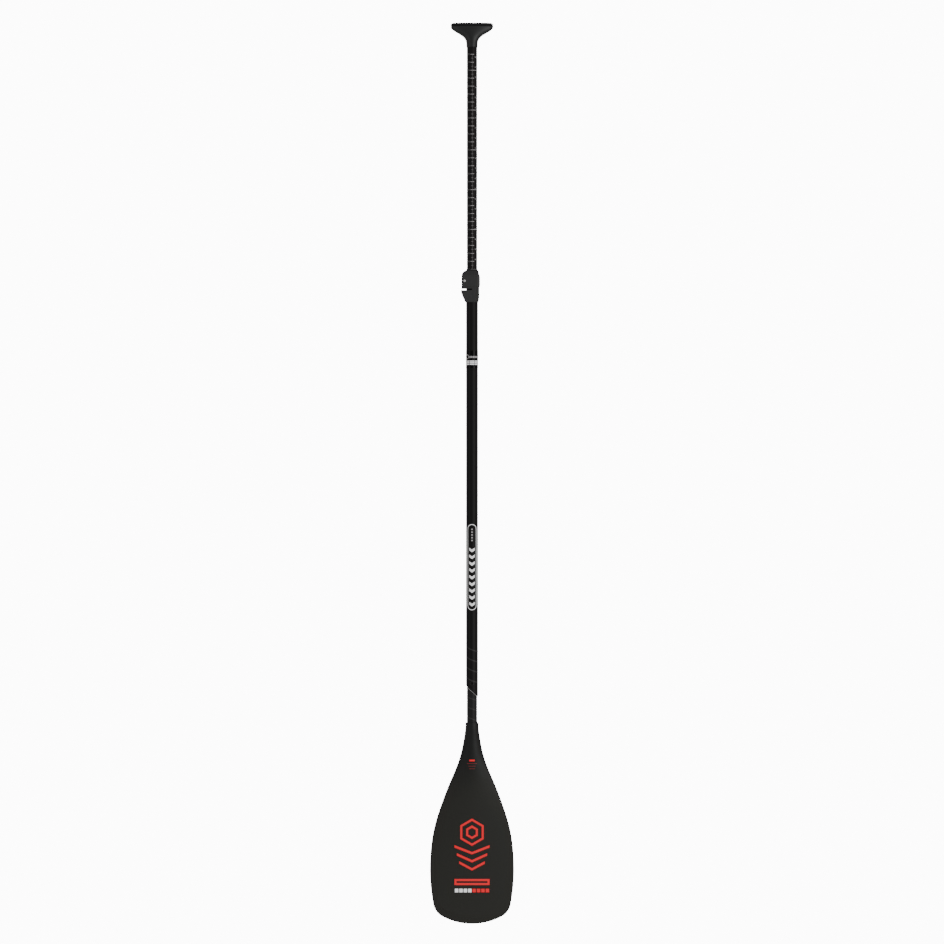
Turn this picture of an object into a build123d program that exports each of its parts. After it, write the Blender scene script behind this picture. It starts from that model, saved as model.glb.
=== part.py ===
"""Adjustable single blade paddle: blade section, shaft with cam clamp, and drawn-out handle section.

Frame: +Z runs up the shaft towards the handle and X across the blade. The blade leans towards -Y,
its driving side. The origin is on the shaft's axis, in the band that a rack clip grips. Millimetres.
"""

import os
from math import cos, radians, sin, tan

from build123d import *

os.makedirs("parts", exist_ok=True)

# Fits and walls
RUN = 0.1  # radial clearance of tubes and pins that slide or turn
GAP = 0.4  # space between pieces that move past each other

# Shaft
SHAFT_R = 15.3
SHAFT_WALL = 2.0
SHAFT_TOP = 223.0
CUT_Z = -833.0  # where the slanted lower end crosses the axis
CUT_ANGLE = 43.0
SEAT_STEP = 0.5  # how far the tube is ground down where the collar is bonded on
SLOT_WIDTH = 2.0
SLOT_DEPTH = 42.0
BORE_R = SHAFT_R - SHAFT_WALL
BAND_LENGTH = 44.0  # glossy sleeve that a rack clip grips, centred on the origin
BAND_THICK = 0.3

# Clamp collar: a base bonded to the shaft, and above its kerf a band that the lever draws shut
COLLAR_BASE = 144.0
COLLAR_WALL = 3.6
COLLAR_END_WALL = 1.2  # plastic left round the bore at the collar's two ends
COLLAR_CORNER = 8.0
FRONT_STEP = 0.3  # how far the band's flat front stands past its round back
BASE_INSET = 0.9  # how far the base stands back from the band
BASE_TAPER = 9.0
BASE_NARROW = 1.2
KERF_Z = 173.7
KERF_HEIGHT = 3.9
BAND_BASE = 181.5
BAND_SIDE = 1.5  # how far the band's right side stands past its round back
BAND_SLOPE = 4.5  # height of the slopes above and below the band's widest part
SHOULDER_Z = 211.0
SHOULDER_BULGE = (4.5, 8.4)
EAR_REACH = 7.5
EAR_STEP = 2.1  # how far the ears' back stands inside the shaft's radius
EAR_SLIT = 3.0
EAR_ROUND = 3.0
LIP_REACH = 9.5
LIP_HEIGHT = 7.0
FOOT_STEP = (2.0, 1.5)
MOULD_ROUND = 0.7
SHOULDER_ROUND = 1.5
PLAN_MARGIN = 0.6  # how far the plan outline runs past the front silhouette that trims it
RING_HEIGHT = 3.0
RING_STEP = 0.3

# Cam lever and its bolt
BOLT_Z = 197.0
BOLT_R = 2.0
BOLT_CLEAR = 1.2  # plastic between the bolt and the shaft
NUT_R = 3.0
NUT_LENGTH = 6.2
NUT_PROUD = 0.6
NUT_RECESS = 1.2
NUT_FLOOR = 1.0  # metal between the key socket and the thread
NUT_ROUND = 0.5
SOCKET_R = 1.5
SOCKET_DEPTH = 1.6
SADDLE_SIZE = (9.0, 3.0, 22.0)
SADDLE_ROUND = 2.0
PIN_R = 2.5
PIN_CHAMFER = 0.3
EYE_R = 4.6
EYE_HEIGHT = 5.0
CAM_R = 6.5
CAM_OFFSET = 1.0
CAM_BLEND = 0.6
LEVER_HEIGHT = 25.0
LEVER_THICK = 4.6
LEVER_CLEAR = 2.4  # space between the collar's back and the shut lever
LEVER_ANGLES = (38.0, 68.0, 100.0)  # tip, middle and root of the arm, round from +X
LEVER_TIP_ROUND = 1.8
FORK_REACH = 5.0

# Blade section
STUB_WALL = 2.2
STUB_TOP = -773.0
STUB_DEPTH = 70.0  # length bonded into the blade's neck
NECK_Z = -913.0
NECK_WALL = 3.45
BLADE_LENGTH = 500.0
BLADE_HALF = 105.4
TIP_R = 160.0
SIDE_R = 478.0
WIDEST_SHARE = 0.724  # where the blade is widest, as a share of its length
CORNER_R = 45.0
BLADE_LEAN = 8.0
EDGE_HALF = 1.5
SKIN = 1.2
RIM = 4.0  # solid laminate round the core
CORE_GAP = 14.0  # solid laminate between the stub's end and the core
PLUG_LENGTH = 18.0
TRIM = 20.0  # how far the blocks that trim the blade run past it

# Lock screw
LOCK_Z = -814.0
LOCK_HOLE_R = 3.2
LOCK_SCREW_R = 2.5
LOCK_SCREW_INSET = 0.3
LOCK_INSERT_R = 4.2
LOCK_INSERT_DEPTH = 7.5
LOCK_INSERT_INSET = 0.6

# Handle section
EXT_WALL = 1.8
EXT_BOTTOM = 61.0
EXT_LENGTH = 724.0
LEAD_IN = 0.8
GRIP_SOCKET_WALL = 1.4
GRIP_HEIGHT = 62.0
GRIP_HALF = 54.0
GRIP_THICK = 16.0
GRIP_ROUND = 4.0
PAD_HEIGHT = 9.0
STEM_DEPTH = 60.0
STEM_WALL = 2.4  # how much thinner the stem is inside the grip than inside the tube
STEM_RISE = 34.0

TUBE_R = BORE_R - RUN  # outer radius of both inner tubes
COLLAR_BORE = SHAFT_R - SEAT_STEP
COLLAR_R = SHAFT_R + COLLAR_WALL
COLLAR_FRONT = COLLAR_R + FRONT_STEP
BAND_RIGHT = COLLAR_R + BAND_SIDE
EAR_LEFT = -COLLAR_R - EAR_REACH
LIP_LEFT = -COLLAR_R - LIP_REACH
EAR_FRONT = -COLLAR_FRONT
EAR_BACK = SHAFT_R - EAR_STEP
RING_R = SHAFT_R - RING_STEP
BOLT_X = -SHAFT_R - BOLT_CLEAR - BOLT_R
PIN_Y = EAR_BACK + SADDLE_SIZE[1] + GAP + CAM_R + CAM_OFFSET
NECK_R = TUBE_R + NECK_WALL
TIP_Z = NECK_Z - BLADE_LENGTH
WIDEST_Z = NECK_Z - WIDEST_SHARE * BLADE_LENGTH
EXT_TOP = EXT_BOTTOM + EXT_LENGTH


def lean(depth):
    """Forward offset of the blade's middle surface at a depth below the neck's top."""
    return -max(depth - STUB_DEPTH, 0.0) * tan(radians(BLADE_LEAN))


def tube(low, high, outer, wall):
    """A plain round tube on the paddle's axis."""
    with BuildPart() as made:
        with BuildSketch(Plane.XY.offset(low)):
            Circle(outer)
            Circle(outer - wall, mode=Mode.SUBTRACT)
        extrude(amount=high - low)
    return made.part


# ---------------------------------------------------------------- shaft
with BuildPart() as shaft_tube:
    with BuildSketch(Plane.XY.offset(CUT_Z - SHAFT_R * 2)):
        Circle(SHAFT_R)
        Circle(BORE_R, mode=Mode.SUBTRACT)
    extrude(amount=SHAFT_TOP - CUT_Z + SHAFT_R * 2)
    # slanted lower end
    slant = Plane(origin=(0, 0, CUT_Z), z_dir=(sin(radians(CUT_ANGLE)), 0, cos(radians(CUT_ANGLE))))
    split(bisect_by=slant, keep=Keep.TOP)
    # seat that the collar is bonded to
    with BuildSketch(Plane.XY.offset(COLLAR_BASE)):
        Circle(SHAFT_R + SEAT_STEP)
        Circle(COLLAR_BORE, mode=Mode.SUBTRACT)
    extrude(amount=SHAFT_TOP - COLLAR_BASE, mode=Mode.SUBTRACT)
    # slots that let the mouth close on the handle tube
    with BuildSketch(Plane.XY.offset(SHAFT_TOP - SLOT_DEPTH)):
        Rectangle(SHAFT_R * 3, SLOT_WIDTH)
    extrude(amount=SLOT_DEPTH, mode=Mode.SUBTRACT)
    # key hole for the lock screw, through the front wall only
    with BuildSketch(Plane((0, 0, LOCK_Z), x_dir=(1, 0, 0), z_dir=(0, -1, 0))):
        Circle(LOCK_HOLE_R)
    extrude(amount=SHAFT_R * 2, mode=Mode.SUBTRACT)

with BuildPart() as shaft_band:
    add(tube(-BAND_LENGTH / 2, BAND_LENGTH / 2, SHAFT_R + BAND_THICK, BAND_THICK))

with BuildPart() as mouth_ring:
    with BuildSketch(Plane.XY.offset(SHAFT_TOP)):
        Circle(RING_R)
        Circle(BORE_R, mode=Mode.SUBTRACT)
    extrude(amount=RING_HEIGHT)
    chamfer(mouth_ring.edges().group_by(Axis.Z)[-1].sort_by(SortBy.RADIUS)[-1], LEAD_IN)

# ---------------------------------------------------------------- clamp
with BuildPart() as clamp_collar:
    end_r = COLLAR_BORE + COLLAR_END_WALL
    base_right = BAND_RIGHT - BASE_INSET * 2
    base_front = COLLAR_FRONT - BASE_INSET
    taper_z = COLLAR_BASE + BASE_TAPER
    # front silhouette
    with BuildSketch(Plane.XZ) as front_view:
        with BuildLine():
            Polyline(
                (end_r, SHAFT_TOP),
                (COLLAR_R, SHOULDER_Z),
                (BAND_RIGHT, SHOULDER_Z - BAND_SLOPE),
                (BAND_RIGHT, BAND_BASE + BAND_SLOPE),
                (base_right, BAND_BASE),
                (base_right, taper_z + BASE_TAPER),
            )
            ThreePointArc(
                (base_right, taper_z + BASE_TAPER),
                (base_right - BASE_NARROW / 2, taper_z),
                (end_r, COLLAR_BASE),
            )
            Polyline(
                (end_r, COLLAR_BASE),
                (-end_r, COLLAR_BASE),
                (-end_r - FOOT_STEP[0], COLLAR_BASE + FOOT_STEP[1]),
                (LIP_LEFT + FOOT_STEP[1], KERF_Z - LIP_HEIGHT),
                (LIP_LEFT, KERF_Z + KERF_HEIGHT / 2),
                (EAR_LEFT, KERF_Z + KERF_HEIGHT / 2),
                (EAR_LEFT, SHOULDER_Z),
            )
            ThreePointArc(
                (EAR_LEFT, SHOULDER_Z),
                (EAR_LEFT + SHOULDER_BULGE[0], SHOULDER_Z + SHOULDER_BULGE[1]),
                (-end_r, SHAFT_TOP),
            )
            Line((-end_r, SHAFT_TOP), (end_r, SHAFT_TOP))
        make_face()
        right_side = front_view.vertices().filter_by_position(Axis.X, base_right - 1, BAND_RIGHT)
        fillet(right_side.filter_by_position(Axis.Y, BAND_BASE - 1, SHOULDER_Z + 1), MOULD_ROUND)
    extrude(amount=COLLAR_FRONT + BASE_NARROW, both=True)
    # side silhouette, with the band standing proud of the base in front
    with BuildSketch(Plane.YZ) as side_view:
        with BuildLine():
            Polyline(
                (end_r, SHAFT_TOP),
                (COLLAR_R, SHOULDER_Z),
                (COLLAR_R, KERF_Z),
                (COLLAR_R - BASE_NARROW, taper_z),
                (end_r, COLLAR_BASE),
                (-end_r, COLLAR_BASE),
                (-base_front + BASE_NARROW, taper_z),
                (-base_front, KERF_Z),
                (-base_front, BAND_BASE),
                (-COLLAR_FRONT, BAND_BASE + BASE_INSET),
                (-COLLAR_FRONT, SHOULDER_Z),
                (-end_r, SHAFT_TOP),
                close=True,
            )
        make_face()
        fillet(side_view.vertices().group_by(Axis.Y)[-2], SHOULDER_ROUND)
    extrude(amount=BAND_RIGHT - LIP_LEFT, both=True, mode=Mode.INTERSECT)
    # plan outline: flat front, round back, both running out to the ears
    with BuildSketch(Plane.XY.offset(COLLAR_BASE)):
        with BuildLine():
            CenterArc((BAND_RIGHT - COLLAR_R + PLAN_MARGIN, 0), COLLAR_R, 0, 360)
            corner_x = BAND_RIGHT - COLLAR_CORNER + PLAN_MARGIN
            CenterArc((corner_x, COLLAR_CORNER - COLLAR_FRONT), COLLAR_CORNER, 0, 360)
            ear_x = LIP_LEFT + EAR_ROUND - PLAN_MARGIN
            CenterArc((ear_x, EAR_ROUND - COLLAR_FRONT), EAR_ROUND, 0, 360)
            CenterArc((ear_x, EAR_BACK - EAR_ROUND), EAR_ROUND, 0, 360)
        make_hull()
    extrude(amount=SHAFT_TOP - COLLAR_BASE, mode=Mode.INTERSECT)
    # bore, tight on the ground seat of the tube
    with BuildSketch(Plane.XY.offset(COLLAR_BASE)):
        Circle(COLLAR_BORE)
    extrude(amount=SHAFT_TOP - COLLAR_BASE, mode=Mode.SUBTRACT)
    # slit between the ears, down to the kerf
    with BuildSketch(Plane.XY.offset(KERF_Z)):
        with Locations((LIP_LEFT / 2 - SHAFT_R / 2, 0)):
            Rectangle(-LIP_LEFT, EAR_SLIT)
    extrude(amount=SHAFT_TOP - KERF_Z, mode=Mode.SUBTRACT)
    # kerf that frees the band on the ears' side
    with BuildSketch(Plane.XY.offset(KERF_Z)):
        with Locations((LIP_LEFT, 0)):
            Rectangle(-LIP_LEFT * 2, COLLAR_R * 3)
    extrude(amount=KERF_HEIGHT, mode=Mode.SUBTRACT)
    # bolt hole through both ears, wider in front for the nut
    with BuildSketch(Plane((BOLT_X, 0, BOLT_Z), x_dir=(1, 0, 0), z_dir=(0, -1, 0))):
        Circle(BOLT_R + RUN)
    extrude(amount=COLLAR_FRONT * 2, both=True, mode=Mode.SUBTRACT)
    nut_seat = EAR_FRONT - NUT_PROUD + NUT_LENGTH + GAP
    with BuildSketch(Plane((BOLT_X, nut_seat, BOLT_Z), x_dir=(1, 0, 0), z_dir=(0, -1, 0))):
        Circle(NUT_R + RUN)
    extrude(amount=COLLAR_FRONT, mode=Mode.SUBTRACT)
    # shallow ring round the nut's face, and a flat recess for the saddle
    with BuildSketch(Plane((BOLT_X, EAR_FRONT + NUT_RECESS, BOLT_Z), x_dir=(1, 0, 0), z_dir=(0, -1, 0))):
        Circle(NUT_R + NUT_RECESS)
    extrude(amount=COLLAR_FRONT, mode=Mode.SUBTRACT)
    with BuildSketch(Plane((BOLT_X, EAR_BACK, BOLT_Z), x_dir=(1, 0, 0), z_dir=(0, 1, 0))):
        RectangleRounded(SADDLE_SIZE[0] + GAP, SADDLE_SIZE[2] + GAP, SADDLE_ROUND)
    extrude(amount=COLLAR_FRONT, mode=Mode.SUBTRACT)

bolt_end = EAR_FRONT - NUT_PROUD + SOCKET_DEPTH + NUT_FLOOR + GAP
with BuildPart() as tension_bolt:
    # shank along Y, from inside the nut to the eye
    with BuildSketch(Plane((BOLT_X, bolt_end, BOLT_Z), x_dir=(1, 0, 0), z_dir=(0, 1, 0))):
        Circle(BOLT_R)
    extrude(amount=PIN_Y - PIN_R - bolt_end)
    # flat eye round the pin
    with BuildSketch(Plane.XY.offset(BOLT_Z - EYE_HEIGHT / 2)):
        with Locations((BOLT_X, PIN_Y)):
            Circle(EYE_R)
    extrude(amount=EYE_HEIGHT)
    with BuildSketch(Plane.XY.offset(BOLT_Z - EYE_HEIGHT)):
        with Locations((BOLT_X, PIN_Y)):
            Circle(PIN_R)
    extrude(amount=EYE_HEIGHT * 2, mode=Mode.SUBTRACT)

with BuildPart() as saddle_washer:
    with BuildSketch(Plane((BOLT_X, EAR_BACK, BOLT_Z), x_dir=(1, 0, 0), z_dir=(0, 1, 0))):
        RectangleRounded(SADDLE_SIZE[0], SADDLE_SIZE[2], SADDLE_ROUND)
        Circle(BOLT_R + RUN, mode=Mode.SUBTRACT)
    extrude(amount=SADDLE_SIZE[1])

with BuildPart() as cam_pin:
    with BuildSketch(Plane.XY.offset(BOLT_Z - LEVER_HEIGHT / 2 - GAP)):
        with Locations((BOLT_X, PIN_Y)):
            Circle(PIN_R)
    extrude(amount=LEVER_HEIGHT + GAP * 2)
    chamfer(cam_pin.edges(), PIN_CHAMFER)

with BuildPart() as cam_lever:
    lever_low = BOLT_Z - LEVER_HEIGHT / 2
    inner_r = COLLAR_R + LEVER_CLEAR
    outer_r = inner_r + LEVER_THICK
    tip_angle, mid_angle, root_angle = [radians(angle) for angle in LEVER_ANGLES]
    with BuildSketch(Plane.XY.offset(lever_low)):
        # arm that wraps the back of the collar
        with BuildLine():
            ThreePointArc(
                (BOLT_X, PIN_Y + CAM_R - CAM_BLEND),
                (outer_r * cos(mid_angle), outer_r * sin(mid_angle)),
                (outer_r * cos(tip_angle), outer_r * sin(tip_angle)),
            )
            Line(
                (outer_r * cos(tip_angle), outer_r * sin(tip_angle)),
                (inner_r * cos(tip_angle), inner_r * sin(tip_angle)),
            )
            ThreePointArc(
                (inner_r * cos(tip_angle), inner_r * sin(tip_angle)),
                (inner_r * cos(mid_angle), inner_r * sin(mid_angle)),
                (inner_r * cos(root_angle), inner_r * sin(root_angle)),
            )
            Polyline(
                (inner_r * cos(root_angle), inner_r * sin(root_angle)),
                (BOLT_X, PIN_Y - CAM_OFFSET),
                (BOLT_X, PIN_Y + CAM_R - CAM_BLEND),
            )
        make_face()
        # eccentric cheeks
        with Locations((BOLT_X, PIN_Y - CAM_OFFSET)):
            Circle(CAM_R)
    extrude(amount=LEVER_HEIGHT)
    fillet(cam_lever.edges().filter_by(Axis.Z).sort_by(Axis.X)[-2:], LEVER_TIP_ROUND)
    fillet(cam_lever.edges().group_by(Axis.Z)[0] + cam_lever.edges().group_by(Axis.Z)[-1], MOULD_ROUND)
    # fork slot for the eye, open on the side that the bolt's shank sweeps
    with BuildSketch(Plane.XY.offset(BOLT_Z - EYE_HEIGHT / 2 - GAP)):
        with Locations((BOLT_X - FORK_REACH, PIN_Y)):
            Rectangle((EYE_R + GAP + FORK_REACH) * 2, CAM_R * 4)
    extrude(amount=EYE_HEIGHT + GAP * 2, mode=Mode.SUBTRACT)
    with BuildSketch(Plane.XY.offset(lever_low)):
        with Locations((BOLT_X, PIN_Y)):
            Circle(PIN_R + RUN / 2)
    extrude(amount=LEVER_HEIGHT, mode=Mode.SUBTRACT)

with BuildPart() as tension_nut:
    nut_face = Plane((BOLT_X, EAR_FRONT - NUT_PROUD, BOLT_Z), x_dir=(1, 0, 0), z_dir=(0, 1, 0))
    with BuildSketch(nut_face):
        Circle(NUT_R)
    extrude(amount=NUT_LENGTH)
    fillet(tension_nut.edges().group_by(Axis.Y)[0], NUT_ROUND)
    with BuildSketch(nut_face):
        RegularPolygon(SOCKET_R, 6)
    extrude(amount=SOCKET_DEPTH, mode=Mode.SUBTRACT)
    with BuildSketch(nut_face.offset(SOCKET_DEPTH + NUT_FLOOR)):
        Circle(BOLT_R + RUN / 2)
    extrude(amount=NUT_LENGTH, mode=Mode.SUBTRACT)

# ---------------------------------------------------------------- blade section
stub_bottom = NECK_Z - STUB_DEPTH
insert_front = LOCK_INSERT_INSET - TUBE_R
with BuildPart() as stub_tube:
    add(tube(stub_bottom, STUB_TOP, TUBE_R, STUB_WALL))
    chamfer(stub_tube.edges().group_by(Axis.Z)[-1].sort_by(SortBy.RADIUS)[-1], LEAD_IN)
    with BuildSketch(Plane((0, 0, LOCK_Z), x_dir=(1, 0, 0), z_dir=(0, -1, 0))):
        Circle(LOCK_INSERT_R)
    extrude(amount=TUBE_R * 2, mode=Mode.SUBTRACT)

with BuildPart() as stub_plug:
    with BuildSketch(Plane.XY.offset(STUB_TOP - PLUG_LENGTH)):
        Circle(TUBE_R - STUB_WALL)
    extrude(amount=PLUG_LENGTH)

with BuildPart() as lock_insert:
    insert_plane = Plane((0, insert_front, LOCK_Z), x_dir=(1, 0, 0), z_dir=(0, 1, 0))
    with BuildSketch(insert_plane):
        Circle(LOCK_INSERT_R)
        Circle(LOCK_SCREW_R + RUN / 2, mode=Mode.SUBTRACT)
    extrude(amount=LOCK_INSERT_DEPTH)

with BuildPart() as lock_screw:
    screw_plane = Plane((0, insert_front + LOCK_SCREW_INSET, LOCK_Z), x_dir=(1, 0, 0), z_dir=(0, 1, 0))
    with BuildSketch(screw_plane):
        Circle(LOCK_SCREW_R)
    extrude(amount=LOCK_INSERT_DEPTH - LOCK_SCREW_INSET * 2)
    with BuildSketch(screw_plane):
        RegularPolygon(SOCKET_R, 6)
    extrude(amount=SOCKET_DEPTH, mode=Mode.SUBTRACT)

# Blade stations below the stub: share of the way to the tip, share of the half width, half thickness
SPREAD = [
    (0.086, 0.3567, 12.6),
    (0.165, 0.4924, 10.2),
    (0.244, 0.6271, 8.4),
    (0.323, 0.7467, 7.1),
    (0.402, 0.852, 6.2),
    (0.481, 0.9288, 5.5),
    (0.56, 0.9744, 5.0),
    (0.679, 1.0, 4.4),
    (0.837, 1.0, 3.6),
    (1.005, 1.0, 3.0),
]
# Depth below the neck's top, half width and half thickness
STATIONS = [
    (0.0, NECK_R, NECK_R),
    (STUB_DEPTH / 2, NECK_R + 2.95, TUBE_R + 2.8),
    (STUB_DEPTH, NECK_R + 9.55, TUBE_R + 2.0),
]
for share, wide, thick in SPREAD:
    STATIONS.append((STUB_DEPTH + share * (BLADE_LENGTH - STUB_DEPTH), wide * BLADE_HALF, thick))


def blade_loft(stations, shrink, rim):
    """Lens sections lofted down the blade, thinner by shrink a side and narrower by rim."""
    with BuildPart() as made:
        for depth, half, thick in stations:
            middle = lean(depth)
            edge = EDGE_HALF / 2 if rim else EDGE_HALF
            side = half - rim
            crown = thick - shrink
            with BuildSketch(Plane.XY.offset(NECK_Z - depth)):
                with BuildLine():
                    Line((side, middle - edge), (side, middle + edge))
                    ThreePointArc((side, middle + edge), (0, middle + crown), (-side, middle + edge))
                    Line((-side, middle + edge), (-side, middle - edge))
                    ThreePointArc((-side, middle - edge), (0, middle - crown), (side, middle - edge))
                make_face()
        loft()
    return made.part


def tip_corner(margin):
    """Where the blade's side arc meets its bottom arc, both drawn inside the edge by margin."""
    side_r = SIDE_R - margin
    bottom_r = TIP_R - margin
    # from the bottom arc's centre to the side arc's centre
    across = BLADE_HALF - SIDE_R
    up = WIDEST_Z - (TIP_Z + TIP_R)
    apart = (across**2 + up**2) ** 0.5
    along = (bottom_r**2 - side_r**2 + apart**2) / (2 * apart)
    off = (bottom_r**2 - along**2) ** 0.5
    x = (along * across - off * up) / apart
    z = TIP_Z + TIP_R + (along * up + off * across) / apart
    return abs(x), z


def tip_outline(margin):
    """The blade's front outline at its lower end, as a block to trim with, inside the edge by margin."""
    side = BLADE_HALF - margin
    corner_x, corner_z = tip_corner(margin)
    half_way = (corner_z + WIDEST_Z) / 2
    drop = WIDEST_Z - half_way
    middle_x = side - (SIDE_R - margin) + ((SIDE_R - margin) ** 2 - drop**2) ** 0.5
    low = TIP_Z + margin
    with BuildPart() as made:
        with BuildSketch(Plane.XZ) as front:
            with BuildLine():
                ThreePointArc((corner_x, corner_z), (middle_x, half_way), (side, WIDEST_Z))
                Polyline((side, WIDEST_Z), (side, NECK_Z + TRIM), (-side, NECK_Z + TRIM), (-side, WIDEST_Z))
                ThreePointArc((-side, WIDEST_Z), (-middle_x, half_way), (-corner_x, corner_z))
                ThreePointArc((-corner_x, corner_z), (0, low), (corner_x, corner_z))
            make_face()
            fillet(front.vertices().group_by(Axis.Y)[0], CORNER_R - margin)
        extrude(amount=BLADE_LENGTH / 4, both=True)
    return made.part


with BuildPart() as blade_core:
    add(blade_loft(STATIONS[2:], SKIN, RIM))
    split(bisect_by=Plane.XY.offset(NECK_Z - STUB_DEPTH - CORE_GAP), keep=Keep.BOTTOM)
    add(tip_outline(RIM), mode=Mode.INTERSECT)

with BuildPart() as blade_shell:
    add(blade_loft(STATIONS, 0.0, 0.0))
    add(tip_outline(0.0), mode=Mode.INTERSECT)
    add(blade_core.part, mode=Mode.SUBTRACT)
    # socket for the stub
    with BuildSketch(Plane.XY.offset(stub_bottom)):
        Circle(TUBE_R)
    extrude(amount=STUB_DEPTH + 1, mode=Mode.SUBTRACT)


def half_space(direction):
    """A block on one side of the blade's middle surface, towards -Y or +Y."""
    far = direction * BLADE_LENGTH / 2
    with BuildPart() as made:
        with BuildSketch(Plane.YZ):
            with BuildLine():
                Polyline(
                    (0, NECK_Z + TRIM),
                    (0, NECK_Z - STUB_DEPTH),
                    (lean(BLADE_LENGTH + TRIM), TIP_Z - TRIM),
                    (far, TIP_Z - TRIM),
                    (far, NECK_Z + TRIM),
                    close=True,
                )
            make_face()
        extrude(amount=BLADE_HALF + TRIM, both=True)
    return made.part


with BuildPart() as blade_front_skin:
    add(blade_shell.part)
    add(half_space(-1), mode=Mode.INTERSECT)

with BuildPart() as blade_back_skin:
    add(blade_shell.part)
    add(half_space(1), mode=Mode.INTERSECT)

# ---------------------------------------------------------------- handle section
with BuildPart() as extension_tube:
    add(tube(EXT_BOTTOM, EXT_TOP, TUBE_R, EXT_WALL))
    chamfer(extension_tube.edges().group_by(Axis.Z)[0].sort_by(SortBy.RADIUS)[-1], LEAD_IN)

with BuildPart() as extension_plug:
    with BuildSketch(Plane.XY.offset(EXT_BOTTOM)):
        Circle(TUBE_R - EXT_WALL)
    extrude(amount=PLUG_LENGTH)

with BuildPart() as grip_stem:
    with BuildSketch(Plane.XY.offset(EXT_TOP - STEM_DEPTH)):
        Circle(TUBE_R - EXT_WALL)
    extrude(amount=STEM_DEPTH)
    with BuildSketch(Plane.XY.offset(EXT_TOP)):
        Circle(TUBE_R - EXT_WALL - STEM_WALL)
    extrude(amount=STEM_RISE)

# Grip stations: height as a share of the grip's, half width and half thickness
GRIP_STATIONS = [
    (0.0, TUBE_R + GRIP_SOCKET_WALL, TUBE_R + GRIP_SOCKET_WALL),
    (0.22, TUBE_R + GRIP_SOCKET_WALL + 0.8, TUBE_R + GRIP_SOCKET_WALL - 0.6),
    (0.45, GRIP_HALF * 0.52, GRIP_THICK * 0.9),
    (0.68, GRIP_HALF * 0.93, GRIP_THICK),
    (0.86, GRIP_HALF, GRIP_THICK * 0.92),
    (1.0, GRIP_HALF * 0.88, GRIP_THICK * 0.6),
]

with BuildPart() as grip_whole:
    for share, half, thick in GRIP_STATIONS:
        with BuildSketch(Plane.XY.offset(EXT_TOP + share * GRIP_HEIGHT)):
            Ellipse(half, thick)
    loft()
    fillet(grip_whole.edges().group_by(Axis.Z)[-1], GRIP_ROUND)

pad_plane = Plane.XY.offset(EXT_TOP + GRIP_HEIGHT - PAD_HEIGHT)
with BuildPart() as palm_pad:
    add(grip_whole.part)
    split(bisect_by=pad_plane, keep=Keep.TOP)

with BuildPart() as grip_front_shell:
    add(grip_whole.part)
    split(bisect_by=pad_plane, keep=Keep.BOTTOM)
    add(grip_stem.part, mode=Mode.SUBTRACT)
    split(bisect_by=Plane.XZ, keep=Keep.TOP)

with BuildPart() as grip_back_shell:
    add(grip_whole.part)
    split(bisect_by=pad_plane, keep=Keep.BOTTOM)
    add(grip_stem.part, mode=Mode.SUBTRACT)
    split(bisect_by=Plane.XZ, keep=Keep.BOTTOM)

# ---------------------------------------------------------------- files
PIECES = {
    "shaft_tube": shaft_tube,
    "shaft_band": shaft_band,
    "mouth_ring": mouth_ring,
    "clamp_collar": clamp_collar,
    "tension_bolt": tension_bolt,
    "saddle_washer": saddle_washer,
    "cam_pin": cam_pin,
    "cam_lever": cam_lever,
    "tension_nut": tension_nut,
    "stub_tube": stub_tube,
    "stub_plug": stub_plug,
    "lock_insert": lock_insert,
    "lock_screw": lock_screw,
    "blade_core": blade_core,
    "blade_front_skin": blade_front_skin,
    "blade_back_skin": blade_back_skin,
    "extension_tube": extension_tube,
    "extension_plug": extension_plug,
    "grip_stem": grip_stem,
    "grip_front_shell": grip_front_shell,
    "grip_back_shell": grip_back_shell,
    "palm_pad": palm_pad,
}
for name, piece in PIECES.items():
    piece.part.label = name
    export_step(piece.part, f"parts/{name}.step")
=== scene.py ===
"""Looks of an adjustable single blade paddle: laminates, moulded clamp and grip, metal, and prints.

Everything is in metres in the paddle's own frame: +Z up the shaft towards the handle, +X across the
blade, and -Y the side that carries the prints.
"""

import logging
from dataclasses import dataclass, field
from enum import Enum
from math import asin, cos, pi, radians, sin, tan
from typing import Callable, Sequence

import bpy
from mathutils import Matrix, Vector
from mathutils.bvhtree import BVHTree


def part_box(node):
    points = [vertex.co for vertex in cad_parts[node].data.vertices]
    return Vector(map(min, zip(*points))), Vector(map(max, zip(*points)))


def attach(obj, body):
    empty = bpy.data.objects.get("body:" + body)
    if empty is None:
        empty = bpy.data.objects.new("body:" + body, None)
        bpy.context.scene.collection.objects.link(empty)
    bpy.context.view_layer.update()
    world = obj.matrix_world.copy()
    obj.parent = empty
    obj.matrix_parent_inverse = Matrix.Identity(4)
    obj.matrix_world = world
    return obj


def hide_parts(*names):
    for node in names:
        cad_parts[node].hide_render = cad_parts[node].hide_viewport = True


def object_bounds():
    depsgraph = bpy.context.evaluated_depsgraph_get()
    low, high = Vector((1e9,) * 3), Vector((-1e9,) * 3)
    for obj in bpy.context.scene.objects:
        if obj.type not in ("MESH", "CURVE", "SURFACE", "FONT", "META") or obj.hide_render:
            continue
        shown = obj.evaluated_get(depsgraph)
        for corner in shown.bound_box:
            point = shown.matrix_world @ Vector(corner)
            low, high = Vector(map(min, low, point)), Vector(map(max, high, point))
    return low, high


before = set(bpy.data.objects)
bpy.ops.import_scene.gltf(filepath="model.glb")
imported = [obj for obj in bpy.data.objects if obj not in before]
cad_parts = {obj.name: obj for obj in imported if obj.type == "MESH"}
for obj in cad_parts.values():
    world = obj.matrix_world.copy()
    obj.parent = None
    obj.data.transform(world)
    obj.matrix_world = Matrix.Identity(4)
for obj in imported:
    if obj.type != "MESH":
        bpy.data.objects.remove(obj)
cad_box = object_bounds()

log = logging.getLogger("paddle")

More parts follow.
